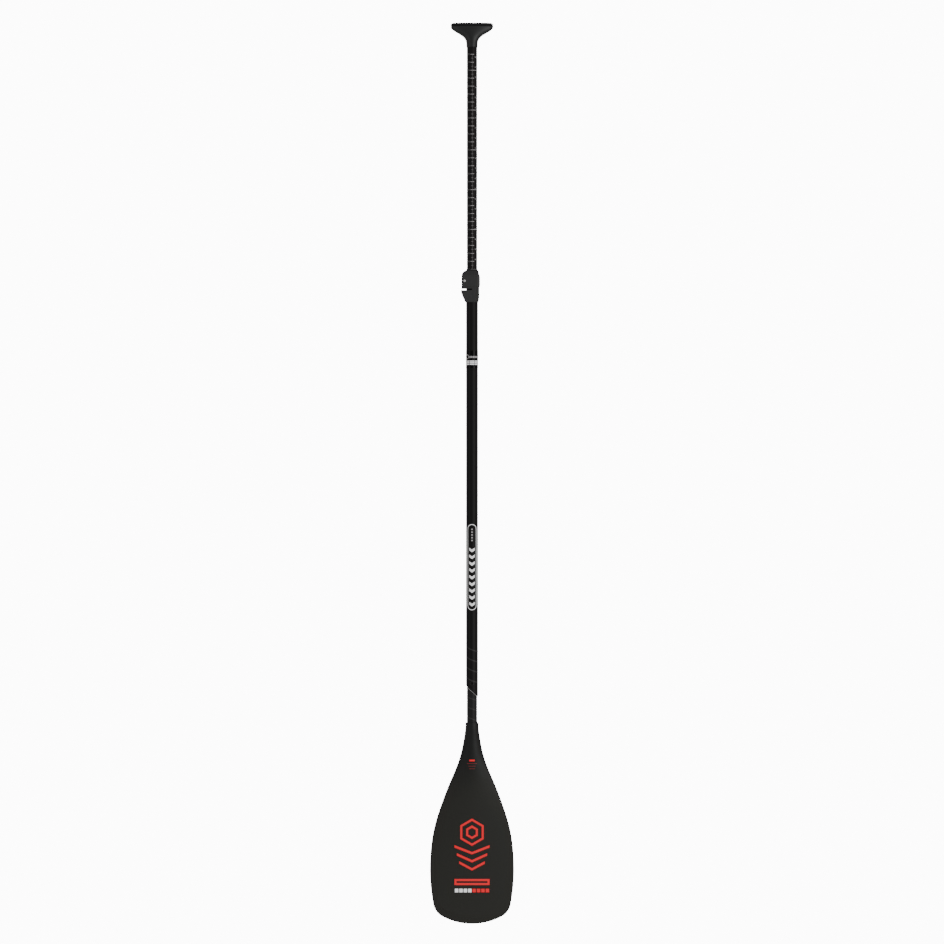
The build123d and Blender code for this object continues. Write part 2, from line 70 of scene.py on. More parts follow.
MM = 0.001
FILM_LIFT = 0.02 * MM
FILM_THICK = 0.06 * MM
TUBE_STRIP = 1.5 * MM  # width of the strips in which a film bends round a tube
MERGE = 0.002 * MM  # points nearer than this become one
RAY_START = 0.1  # how far in front of a face its search starts
STRIPE_REACH = 1.75  # half a stripe's length round a tube, in radii: a little past its sides
CUT_ANGLE = 43.0  # slant of the shaft's lower end

Point = tuple[float, float]
Rule = Callable[[float, float], Vector]

# shares of the T-grip's height, and of its extra width and depth beyond the socket
GRIP_RINGS = (
    (0.14, 0.0, 0.0),
    (0.3, 0.02, -0.1),
    (0.45, 0.14, 0.05),
    (0.58, 0.38, 0.35),
    (0.7, 0.68, 0.7),
    (0.82, 0.92, 0.95),
    (0.92, 1.0, 1.0),
    (0.985, 1.0, 0.96),
)
# shares of the palm pad's height, half width and half depth
PAD_RINGS = (
    (0.0, 0.985, 0.96),
    (0.12, 1.0, 1.0),
    (0.4, 0.995, 0.97),
    (0.68, 0.965, 0.86),
    (0.86, 0.9, 0.68),
    (0.96, 0.82, 0.44),
    (0.995, 0.76, 0.2),
    (1.0, 0.74, 0.05),
)


class Body(str, Enum):
    """Bodies that a piece can ride on."""

    SHAFT = "shaft"
    BLADE = "blade"
    HANDLE = "handle"
    LEVER = "lever"


# ---------------------------------------------------------------- materials


def srgb(code: str) -> tuple[float, float, float, float]:
    """Turns an sRGB hex colour to linear light.

    Args:
        code: colour such as "#1a1a1a".

    Returns:
        Linear red, green and blue, with an alpha of 1.
    """
    parts = [int(code[i : i + 2], 16) / 255 for i in (1, 3, 5)]
    linear = [p / 12.92 if p <= 0.04045 else ((p + 0.055) / 1.055) ** 2.4 for p in parts]
    return (*linear, 1.0)


def add_node(
    tree: bpy.types.NodeTree, kind: str, feeds: dict | None = None, **settings
) -> bpy.types.Node:
    """Adds one node with its settings, values and links.

    Args:
        tree: the node tree to add to.
        kind: the node's type name.
        feeds: input names or numbers, each with a value or the output socket that feeds it.
        **settings: attributes of the node itself.

    Returns:
        The new node.
    """
    node = tree.nodes.new(kind)
    for name, value in settings.items():
        setattr(node, name, value)
    for name, value in (feeds or {}).items():
        socket = node.inputs[name]
        if isinstance(value, bpy.types.NodeSocket):
            tree.links.new(value, socket)
        else:
            socket.default_value = value
    return node


def new_material(name: str) -> tuple[bpy.types.Material, bpy.types.NodeTree, bpy.types.Node]:
    """Makes an empty node material.

    Args:
        name: the material's name.

    Returns:
        The material, its tree and its Principled shader, already linked to the output.
    """
    material = bpy.data.materials.new(name)
    material.use_nodes = True
    tree = material.node_tree
    tree.nodes.clear()
    shader = add_node(tree, "ShaderNodeBsdfPrincipled")
    add_node(tree, "ShaderNodeOutputMaterial", {"Surface": shader.outputs["BSDF"]})
    return material, tree, shader


def set_shader(tree: bpy.types.NodeTree, shader: bpy.types.Node, feeds: dict) -> None:
    """Sets or links the shader's inputs.

    Args:
        tree: the shader's tree.
        shader: the Principled shader.
        feeds: input names, each with a value or a socket.
    """
    for name, value in feeds.items():
        if isinstance(value, bpy.types.NodeSocket):
            tree.links.new(value, shader.inputs[name])
        else:
            shader.inputs[name].default_value = value


@dataclass(frozen=True)
class TubeLaminate:
    """Carbon and epoxy tube, wound and ground: dark 2/2 twill under a thin satin film of resin."""

    name: str
    ground: str
    tow: str
    radius: float
    roughness: float
    specular: float = 0.26
    tow_width: float = 3.0 * MM
    tow_rise: float = 0.05 * MM
    fibres_per_metre: float = 420.0

    def make(self) -> bpy.types.Material:
        """Builds the twill round the tube's axis, in true arc length."""
        material, tree, shader = new_material(self.name)
        place = add_node(tree, "ShaderNodeTexCoord").outputs["Object"]
        xyz = add_node(tree, "ShaderNodeSeparateXYZ", {0: place}).outputs
        back = add_node(tree, "ShaderNodeMath", {0: xyz["Y"], 1: -1.0}, operation="MULTIPLY")
        angle = add_node(
            tree, "ShaderNodeMath", {0: xyz["X"], 1: back.outputs[0]}, operation="ARCTAN2"
        )
        # a whole number of tows fits round the tube, so the weave closes at the back
        count = float(round(2 * pi * self.radius / self.tow_width))
        rate = 2 * pi / self.tow_width
        round_it = add_node(
            tree, "ShaderNodeMath", {0: angle.outputs[0], 1: count}, operation="MULTIPLY"
        )
        rise = add_node(tree, "ShaderNodeMath", {0: xyz["Z"], 1: rate}, operation="MULTIPLY")
        along = add_node(
            tree, "ShaderNodeMath", {0: round_it.outputs[0], 1: rise.outputs[0]}, operation="ADD"
        )
        wave = add_node(tree, "ShaderNodeMath", {0: along.outputs[0]}, operation="SINE")
        step = add_node(
            tree,
            "ShaderNodeMapRange",
            {"Value": wave.outputs[0], "From Min": -0.5, "From Max": 0.5},
        )
        warp = add_node(tree, "ShaderNodeMath", {0: round_it.outputs[0]}, operation="SINE")
        fibre = add_node(
            tree,
            "ShaderNodeTexNoise",
            {"Vector": place, "Scale": self.fibres_per_metre, "Detail": 3.0, "Roughness": 0.7},
        )
        shade = add_node(
            tree,
            "ShaderNodeMix",
            {0: step.outputs["Result"], 6: srgb(self.ground), 7: srgb(self.tow)},
            data_type="RGBA",
        )
        soft = add_node(
            tree,
            "ShaderNodeMapRange",
            {
                "Value": fibre.outputs["Fac"],
                "To Min": self.roughness - 0.06,
                "To Max": self.roughness + 0.08,
            },
        )
        height = add_node(
            tree,
            "ShaderNodeMath",
            {0: step.outputs["Result"], 1: warp.outputs[0]},
            operation="MULTIPLY",
        )
        relief = add_node(
            tree,
            "ShaderNodeBump",
            {"Strength": 0.06, "Distance": self.tow_rise, "Height": height.outputs[0]},
        )
        set_shader(
            tree,
            shader,
            {
                "Base Color": shade.outputs[2],
                "Roughness": soft.outputs["Result"],
                "Normal": relief.outputs["Normal"],
                "IOR": 1.5,
                "Specular IOR Level": self.specular,
            },
        )
        return material


@dataclass(frozen=True)
class BladeLaminate:
    """Carbon and epoxy blade skin, pressed against a matt mould: flat sheen and faint cloth."""

    name: str
    blade: str
    neck: str
    neck_low: float
    neck_high: float
    tow_width: float = 2.5 * MM
    tow_rise: float = 0.05 * MM
    specular: float = 0.22

    def make(self) -> bpy.types.Material:
        """Builds plain cloth seen through matt resin, a shade darker on the neck."""
        material, tree, shader = new_material(self.name)
        place = add_node(tree, "ShaderNodeTexCoord").outputs["Object"]
        xyz = add_node(tree, "ShaderNodeSeparateXYZ", {0: place}).outputs
        wave_rate = pi / self.tow_width
        across = add_node(tree, "ShaderNodeMath", {0: xyz["X"], 1: wave_rate}, operation="MULTIPLY")
        down = add_node(tree, "ShaderNodeMath", {0: xyz["Z"], 1: wave_rate}, operation="MULTIPLY")
        wave_x = add_node(tree, "ShaderNodeMath", {0: across.outputs[0]}, operation="SINE")
        wave_z = add_node(tree, "ShaderNodeMath", {0: down.outputs[0]}, operation="SINE")
        weave = add_node(
            tree,
            "ShaderNodeMath",
            {0: wave_x.outputs[0], 1: wave_z.outputs[0]},
            operation="MULTIPLY",
        )
        cloth = add_node(
            tree,
            "ShaderNodeMapRange",
            {"Value": weave.outputs[0], "From Min": -0.3, "From Max": 0.3},
        )
        mottle = add_node(
            tree,
            "ShaderNodeTexNoise",
            {"Vector": place, "Scale": 45.0, "Detail": 5.0, "Roughness": 0.6},
        )
        fade = add_node(
            tree,
            "ShaderNodeMapRange",
            {"Value": xyz["Z"], "From Min": self.neck_low, "From Max": self.neck_high},
            interpolation_type="SMOOTHSTEP",
        )
        base = add_node(
            tree,
            "ShaderNodeMix",
            {0: fade.outputs["Result"], 6: srgb(self.blade), 7: srgb(self.neck)},
            data_type="RGBA",
        )
        tone = add_node(
            tree,
            "ShaderNodeMapRange",
            {"Value": cloth.outputs["Result"], "To Min": 0.93, "To Max": 1.07},
        )
        tint = add_node(
            tree,
            "ShaderNodeHueSaturation",
            {"Color": base.outputs[2], "Value": tone.outputs["Result"]},
        )
        gloss = add_node(
            tree,
            "ShaderNodeMapRange",
            {"Value": mottle.outputs["Fac"], "To Min": 0.48, "To Max": 0.62},
        )
        relief = add_node(
            tree,
            "ShaderNodeBump",
            {"Strength": 0.08, "Distance": self.tow_rise, "Height": weave.outputs[0]},
        )
        set_shader(
            tree,
            shader,
            {
                "Base Color": tint.outputs["Color"],
                "Roughness": gloss.outputs["Result"],
                "Normal": relief.outputs["Normal"],
                "Specular IOR Level": self.specular,
            },
        )
        return material


@dataclass(frozen=True)
class MouldedPlastic:
    """Plastic or rubber from a spark-eroded mould: even grain breaks the gloss into a sheen."""

    name: str
    colour: str
    roughness: float
    grain: float = 0.5 * MM
    depth: float = 0.04 * MM
    specular: float = 0.3

    def make(self) -> bpy.types.Material:
        """Builds the mould's grain as bump and as small changes of gloss."""
        material, tree, shader = new_material(self.name)
        place = add_node(tree, "ShaderNodeTexCoord").outputs["Object"]
        grain = add_node(
            tree, "ShaderNodeTexNoise", {"Vector": place, "Scale": 1 / self.grain, "Detail": 4.0}
        )
        flow = add_node(tree, "ShaderNodeTexNoise", {"Vector": place, "Scale": 60.0, "Detail": 2.0})
        tone = add_node(
            tree,
            "ShaderNodeMapRange",
            {"Value": flow.outputs["Fac"], "To Min": 0.88, "To Max": 1.12},
        )
        tint = add_node(
            tree,
            "ShaderNodeHueSaturation",
            {"Color": srgb(self.colour), "Value": tone.outputs["Result"]},
        )
        gloss = add_node(
            tree,
            "ShaderNodeMapRange",
            {
                "Value": grain.outputs["Fac"],
                "To Min": self.roughness - 0.08,
                "To Max": self.roughness + 0.08,
            },
        )
        relief = add_node(
            tree,
            "ShaderNodeBump",
            {"Strength": 0.35, "Distance": self.depth, "Height": grain.outputs["Fac"]},
        )
        set_shader(
            tree,
            shader,
            {
                "Base Color": tint.outputs["Color"],
                "Roughness": gloss.outputs["Result"],
                "Normal": relief.outputs["Normal"],
                "Specular IOR Level": self.specular,
            },
        )
        return material


@dataclass(frozen=True)
class TurnedMetal:
    """Metal turned on a lathe: bright, with fine rings that spread its highlight."""

    name: str
    colour: str
    roughness: float
    ring: float = 0.25 * MM
    ring_depth: float = 0.02 * MM

    def make(self) -> bpy.types.Material:
        """Builds the lathe's rings as bump and as changes of gloss."""
        material, tree, shader = new_material(self.name)
        place = add_node(tree, "ShaderNodeTexCoord").outputs["Object"]
        stretched = add_node(
            tree, "ShaderNodeMapping", {"Vector": place, "Scale": (1.0, 12.0, 1.0)}
        )
        rings = add_node(
            tree,
            "ShaderNodeTexNoise",
            {"Vector": stretched.outputs[0], "Scale": 0.2 / self.ring, "Detail": 3.0},
        )
        gloss = add_node(
            tree,
            "ShaderNodeMapRange",
            {
                "Value": rings.outputs["Fac"],
                "To Min": self.roughness - 0.07,
                "To Max": self.roughness + 0.1,
            },
        )
        relief = add_node(
            tree,
            "ShaderNodeBump",
            {"Strength": 0.15, "Distance": self.ring_depth, "Height": rings.outputs["Fac"]},
        )
        set_shader(
            tree,
            shader,
            {
                "Base Color": srgb(self.colour),
                "Metallic": 1.0,
                "Roughness": gloss.outputs["Result"],
                "Normal": relief.outputs["Normal"],
            },
        )
        return material


@dataclass(frozen=True)
class ScreenInk:
    """Screen-printed ink: an even opaque film whose tone and gloss show a trace of the mesh."""

    name: str
    colour: str
    roughness: float
    specular: float = 0.3

    def make(self) -> bpy.types.Material:
        """Builds the ink with faint unevenness from the screen."""
        material, tree, shader = new_material(self.name)
        place = add_node(tree, "ShaderNodeTexCoord").outputs["Object"]
        mesh_mark = add_node(
            tree, "ShaderNodeTexNoise", {"Vector": place, "Scale": 900.0, "Detail": 2.0}
        )
        tone = add_node(
            tree,
            "ShaderNodeMapRange",
            {"Value": mesh_mark.outputs["Fac"], "To Min": 0.92, "To Max": 1.06},
        )
        tint = add_node(
            tree,
            "ShaderNodeHueSaturation",
            {"Color": srgb(self.colour), "Value": tone.outputs["Result"]},
        )
        gloss = add_node(
            tree,
            "ShaderNodeMapRange",
            {
                "Value": mesh_mark.outputs["Fac"],
                "To Min": max(self.roughness - 0.05, 0.02),
                "To Max": self.roughness + 0.06,
            },
        )
        set_shader(
            tree,
            shader,
            {
                "Base Color": tint.outputs["Color"],
                "Roughness": gloss.outputs["Result"],
                "Specular IOR Level": self.specular,
            },
        )
        return material


# ---------------------------------------------------------------- modelling helpers


def deselect() -> None:
    """Leaves nothing selected."""
    bpy.ops.object.select_all(action="DESELECT")


def edit_all(obj: bpy.types.Object) -> None:
    """Opens an object in edit mode with all of it selected.

    Args:
        obj: the object to edit.
    """
    deselect()
    obj.select_set(True)
    bpy.context.view_layer.objects.active = obj
    bpy.ops.object.mode_set(mode="EDIT")
    bpy.ops.mesh.select_all(action="SELECT")


def leave_edit() -> None:
    """Goes back to object mode."""
    bpy.ops.object.mode_set(mode="OBJECT")


def apply_modifiers(obj: bpy.types.Object) -> None:
    """Applies every modifier of an object, in order.

    Args:
        obj: the object to finish.
    """
    deselect()
    obj.select_set(True)
    bpy.context.view_layer.objects.active = obj
    for modifier in list(obj.modifiers):
        bpy.ops.object.modifier_apply(modifier=modifier.name)


@dataclass
class PrintSheet:
    """Flat artwork, drawn in arc length and height and then laid on a surface as a thin film.

    The artwork lies in the plane Y = 0 while it is drawn: X is the distance round from the front
    line and Z is the height.
    """

    name: str
    ink: bpy.types.Material
    body: Body
    thickness: float = FILM_THICK
    back: bool = False
    flats: list = field(default_factory=list)

    def polygon(self, points: Sequence[Point]) -> bpy.types.Object:
        """Adds a filled shape.

        Args:
            points: its corners, anticlockwise as the artwork is read.

        Returns:
            The flat shape's object.
        """
        deselect()
        bpy.ops.mesh.primitive_circle_add(vertices=len(points), radius=1.0, fill_type="NGON")
        shape = bpy.context.object
        for vertex, (across, height) in zip(shape.data.vertices, points):
            vertex.co = (across, 0.0, height)
        self.flats.append(shape)
        return shape

    def bar(self, left: float, right: float, low: float, high: float, slant: float = 0.0) -> None:
        """Adds a bar.

        Args:
            left: left end.
            right: right end.
            low: lower edge.
            high: upper edge.
            slant: how much lower the right end lies.
        """
        self.polygon([(left, low), (right, low - slant), (right, high - slant), (left, high)])

    def ribbon(self, line: Sequence[Point], width: float) -> None:
        """Adds a curved line.

        Args:
            line: points along its lower edge, from left to right.
            width: its thickness, measured upright.
        """
        for (left, low), (right, fall) in zip(line, line[1:]):
            self.polygon([(left, low), (right, fall), (right, fall + width), (left, low + width)])

    def outline(self, points: Sequence[Point], width: float) -> None:
        """Adds a closed line, inside the given corners.

        Args:
            points: the line's outer corners, anticlockwise.
            width: the line's width.
        """
        shape = self.polygon(points)
        edit_all(shape)
        bpy.ops.mesh.inset(thickness=width)
        bpy.ops.mesh.delete(type="FACE")
        leave_edit()

    def figures(self, text: str, size: float, across: float, height: float) -> None:
        """Adds a number.

        Args:
            text: its digits.
            size: height of the type.
            across: place of its middle across.
            height: place of its middle in height.
        """
        deselect()
        bpy.ops.object.text_add()
        shape = bpy.context.object
        shape.data.body = text
        shape.data.size = size
        shape.data.resolution_u = 3
        shape.data.align_x = "CENTER"
        shape.data.align_y = "CENTER"
        bpy.ops.object.convert(target="MESH")
        shape = bpy.context.object
        for vertex in shape.data.vertices:
            vertex.co = (across + vertex.co.x, 0.0, height + vertex.co.y)
        self.flats.append(shape)

    def cut(self, step: float, both_ways: bool = False) -> bpy.types.Object:
        """Joins the artwork and cuts it into narrow strips, so that it can bend.

        Args:
            step: width of the strips.
            both_ways: whether to cut it in height too.

        Returns:
            The joined flat object.
        """
        deselect()
        for shape in self.flats:
            shape.select_set(True)
        bpy.context.view_layer.objects.active = self.flats[0]
        if len(self.flats) > 1:
            bpy.ops.object.join()
        sheet = bpy.context.view_layer.objects.active
        sheet.name = self.name
        sheet.data.name = self.name
        for axis in (0, 2) if both_ways else (0,):
            places = [vertex.co[axis] for vertex in sheet.data.vertices]
            low, high = min(places), max(places)
            cuts = int((high - low) / step)
            normal = [0.0, 0.0, 0.0]
            normal[axis] = 1.0
            edit_all(sheet)
            for number in range(1, cuts + 1):
                point = [0.0, 0.0, 0.0]
                point[axis] = low + number * step
                bpy.ops.mesh.select_all(action="SELECT")
                bpy.ops.mesh.bisect(plane_co=point, plane_no=normal, use_fill=False)
            leave_edit()
        return sheet

    def lay(self, where: Rule, step: float, both_ways: bool = False) -> None:
        """Lays the artwork on a surface and gives the film its thickness.

        Args:
            where: gives the surface's point for an arc length and a height.
            step: width of the strips that the film bends in.
            both_ways: whether the surface bends in height too.
        """
        sheet = self.cut(step, both_ways)
        for vertex in sheet.data.vertices:
            vertex.co = where(vertex.co.x, vertex.co.z)
        edit_all(sheet)
        bpy.ops.mesh.remove_doubles(threshold=MERGE)
        leave_edit()
        solid = sheet.modifiers.new("film", "SOLIDIFY")
        solid.thickness = self.thickness
        solid.offset = -1.0 if self.back else 1.0
        apply_modifiers(sheet)
        edit_all(sheet)
        bpy.ops.mesh.normals_make_consistent(inside=False)
        leave_edit()
        sheet.data.materials.clear()
        sheet.data.materials.append(self.ink)
        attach(sheet, self.body.value)
        log.info("print %s: %d faces", self.name, len(sheet.data.polygons))


def on_tube(radius: float, lift: float = FILM_LIFT) -> Rule:
    """Placing rule for a round tube on the paddle's axis.

    Args:
        radius: the tube's outer radius.
        lift: space between the tube and the film's inner face.

    Returns:
        A function from arc length and height to a point.
    """
    reach = radius + lift

    def place(across: float, height: float) -> Vector:
        """Point on the tube for an arc length and a height."""
        return Vector((reach * sin(across / radius), -reach * cos(across / radius), height))

    return place


def on_face(node: str, lift: float = FILM_LIFT, back: bool = False) -> Rule:
    """Placing rule for the front or the back of a CAD node.

    Args:
        node: the node's name.
        lift: space between the face and the film's inner face.
        back: whether it is the back, which faces +Y.

    Returns:
        A function from a place across and a height to a point on the face.
    """
    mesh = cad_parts[node].data
    points = [vertex.co.copy() for vertex in mesh.vertices]
    tree = BVHTree.FromPolygons(points, [tuple(face.vertices) for face in mesh.polygons])
    way = -1.0 if back else 1.0
    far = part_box(node)[1][1] + RAY_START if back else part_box(node)[0][1] - RAY_START

    def place(across: float, height: float) -> Vector:
        """Point on the face, straight behind the artwork."""
        hit = tree.ray_cast(Vector((across, far, height)), Vector((0.0, way, 0.0)))[0]
        return hit - Vector((0.0, way * lift, 0.0))

    return place


def stadium(half_width: float, low: float, high: float, steps: int = 10) -> list[Point]:
    """Corners of an upright shape with straight sides and half-round ends.

    Args:
        half_width: half its width.
        low: its lowest point.
        high: its highest point.
        steps: corners along each end.

    Returns:
        The corners, anticlockwise.
    """
    turn = [pi * i / steps for i in range(steps + 1)]
    top = [(half_width * cos(t), high - half_width + half_width * sin(t)) for t in turn]
    bottom = [(-half_width * cos(t), low + half_width - half_width * sin(t)) for t in turn]
    return top + bottom


def regular(corners: int, radius: float, middle: float, turn: float = 0.0) -> list[Point]:
    """Corners of a regular polygon.

    Args:
        corners: how many it has.
        radius: from its middle to a corner.
        middle: height of its middle.
        turn: angle of its first corner.

    Returns:
        The corners, anticlockwise.
    """
    angles = [turn + 2 * pi * i / corners for i in range(corners)]
    return [(radius * cos(a), middle + radius * sin(a)) for a in angles]


def chevron(half: float, top: float, drop: float, width: float) -> list[Point]:
    """Corners of a V-shaped bar that points down.

    Args:
        half: half its span.
        top: height of its ends.
        drop: how much lower its point is.
        width: thickness of its arms, measured upright.

    Returns:
        The corners, anticlockwise.
    """
    return [
        (-half, top),
        (-half, top - width),
        (0.0, top - drop - width),
        (half, top - width),
        (half, top),
        (0.0, top - drop),
    ]


def smooth(obj: bpy.types.Object, material: bpy.types.Material, body: Body) -> None:
    """Closes a modelled piece's normals, smooths it, and gives it its finish and its body.

    Args:
        obj: the piece.
        material: its finish.
        body: the body that it rides on.
    """
    edit_all(obj)
    bpy.ops.mesh.remove_doubles(threshold=MERGE)
    bpy.ops.mesh.normals_make_consistent(inside=False)
    leave_edit()
    bpy.ops.object.shade_smooth()
    obj.data.materials.clear()
    obj.data.materials.append(material)
    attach(obj, body.value)
    log.info("piece %s: %d faces", obj.name, len(obj.data.polygons))


def stacked_rings(
    name: str,
    rings: Sequence[tuple[float, float, float]],
    sides: int,
    levels: int,
    ridge: bool = False,
) -> bpy.types.Object:
    """Models a closed form by drawing an oval ring upwards, and subdivides it smooth.

    Args:
        name: the piece's name.
        rings: height, half width and half thickness of each ring, from the bottom.
        sides: corners of each ring, a multiple of four.
        levels: how many times it is subdivided.
        ridge: whether the last ring is pressed together into a line, instead of capped.

    Returns:
        The piece, at the origin.
    """
    deselect()
    cap_inset = 0.3  # keeps the caps' edges crisp when they are subdivided
    height, half, thick = rings[0]
    bpy.ops.mesh.primitive_circle_add(vertices=sides, radius=1.0, fill_type="NGON")
    piece = bpy.context.object
    piece.name = name
    piece.data.name = name
    edit_all(piece)
    bpy.ops.transform.resize(value=(half, thick, 1.0), center_override=(0.0, 0.0, 0.0))
    bpy.ops.transform.translate(value=(0.0, 0.0, height))
    bpy.ops.mesh.inset(thickness=min(half, thick) * cap_inset)
    bpy.ops.mesh.select_all(action="SELECT")
    bpy.ops.mesh.region_to_loop()
    for above, wide, deep in rings[1:]:
        rise = {"value": (0.0, 0.0, above - height)}
        bpy.ops.mesh.extrude_region_move(TRANSFORM_OT_translate=rise)
        spread = (wide / half, deep / thick, 1.0)
        bpy.ops.transform.resize(value=spread, center_override=(0.0, 0.0, above))
        height, half, thick = above, wide, deep
    if ridge:
        bpy.ops.transform.resize(value=(1.0, 0.0, 1.0), center_override=(0.0, 0.0, height))
        bpy.ops.mesh.select_all(action="SELECT")
        bpy.ops.mesh.remove_doubles(threshold=0.01 * MM)
    else:
        bpy.ops.mesh.edge_face_add()
        bpy.ops.mesh.inset(thickness=min(half, thick) * cap_inset)
    leave_edit()
    surface = piece.modifiers.new("surface", "SUBSURF")
    surface.levels = levels
    surface.render_levels = levels
    apply_modifiers(piece)
    return piece


def bead(
    name: str, radius: float, height: float, size: float, material: bpy.types.Material, body: Body
) -> None:
    """Adds a bead of resin round a tube by spinning its section.

    Args:
        name: the piece's name.
        radius: the tube's radius.
        height: the joint's height.
        size: how far the bead stands out.
        material: its finish.
        body: the body that it rides on.
    """
    deselect()
    bpy.ops.mesh.primitive_circle_add(vertices=12, radius=size, fill_type="NOTHING")
    piece = bpy.context.object
    piece.name = name
    piece.data.name = name
    edit_all(piece)
    bpy.ops.transform.rotate(value=pi / 2, orient_axis="X", center_override=(0.0, 0.0, 0.0))
    bpy.ops.transform.resize(value=(1.0, 1.0, 1.4), center_override=(0.0, 0.0, 0.0))
    bpy.ops.transform.translate(value=(radius, 0.0, height))
    bpy.ops.mesh.spin(steps=96, angle=2 * pi, center=(0.0, 0.0, 0.0), axis=(0.0, 0.0, 1.0))
    leave_edit()
    smooth(piece, material, body)


# ---------------------------------------------------------------- finishes


def dress(material: bpy.types.Material, *nodes: str) -> None:
    """Gives CAD nodes a finish.

    Args:
        material: the finish.
        *nodes: the nodes' names.
    """
    for name in nodes:
        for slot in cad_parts[name].material_slots:
            slot.material = material
        log.info("finish %s: %s", name, material.name)


@dataclass
class Finishes:
    """All of the paddle's materials."""

    shaft_radius: float
    stub_radius: float
    neck_top: float
    fade_low: float = 200.0 * MM
    fade_high: float = 60.0 * MM

    def __post_init__(self) -> None:
        """Builds the materials."""
        self.shaft = TubeLaminate(
            "carbon_shaft_laminate", "#0a0909", "#0f0e0e", self.shaft_radius, 0.5, 0.11
        ).make()
        self.stub = TubeLaminate(
            "carbon_stub_laminate", "#0f0f0f", "#131313", self.stub_radius, 0.55, 0.18
        ).make()
        self.extension = TubeLaminate(
            "carbon_extension_laminate", "#0b0a0a", "#110f0f", self.stub_radius, 0.5, 0.11
        ).make()
        low, high = self.neck_top - self.fade_low, self.neck_top - self.fade_high
        self.blade = BladeLaminate("pressed_carbon_blade", "#1b1a16", "#0b0b0a", low, high).make()
        self.moulded()
        self.metals()
        self.inks()

    def moulded(self) -> None:
        """Builds the plastics, the rubber and the foams."""
        self.clamp = MouldedPlastic("moulded_nylon_clamp", "#202020", 0.55).make()
        self.lever = MouldedPlastic("moulded_nylon_lever", "#171717", 0.5).make()
        self.grip = MouldedPlastic("moulded_abs_grip", "#121212", 0.46, grain=0.7 * MM).make()
        self.acetal = MouldedPlastic(
            "acetal_saddle", "#151515", 0.3, grain=0.3 * MM, depth=0.01 * MM
        ).make()
        self.resin = MouldedPlastic(
            "black_epoxy_bead", "#0c0c0c", 0.3, grain=2.0 * MM, depth=0.02 * MM
        ).make()
        self.rubber = MouldedPlastic(
            "soft_rubber", "#101010", 0.68, grain=0.9 * MM, specular=0.18
        ).make()
        cells = {"grain": 1.2 * MM, "depth": 0.2 * MM}
        self.foam = MouldedPlastic("closed_cell_foam", "#232323", 0.8, **cells).make()
        self.core = MouldedPlastic("pale_core_foam", "#d8cfae", 0.8, **cells).make()

    def metals(self) -> None:
        """Builds the clamp's bright steel and the lock's darkened metals."""
        self.steel = TurnedMetal("turned_stainless_steel", "#e2e2df", 0.24).make()
        self.brass = TurnedMetal("blackened_brass", "#2b2824", 0.4).make()
        self.black_steel = TurnedMetal("black_oxide_steel", "#242424", 0.42).make()

    def inks(self) -> None:
        """Builds the band's vinyl and the inks of the prints; the dark grey ink also paints the
        highlight on the lock hole's rim.
        """
        self.vinyl = ScreenInk("gloss_black_vinyl", "#030303", 0.25, specular=0.08).make()
        self.white = ScreenInk("white_ink", "#fafafa", 0.45).make()
        self.silver = ScreenInk("silver_grey_ink", "#9d9b9b", 0.42).make()
        self.dim = ScreenInk("grey_scale_ink", "#6f6d6d", 0.45).make()
        # dark grey: prints the stripes, and also paints the highlight round the lock's key hole
        self.shadow = ScreenInk("dark_grey_ink_and_rim_highlight", "#282727", 0.45, specular=0.15).make()
        self.red = ScreenInk("red_ink", "#e3141f", 0.42).make()
        self.deep_red = ScreenInk("deep_red_ink", "#6e1f22", 0.45).make()


# ---------------------------------------------------------------- sub-assemblies


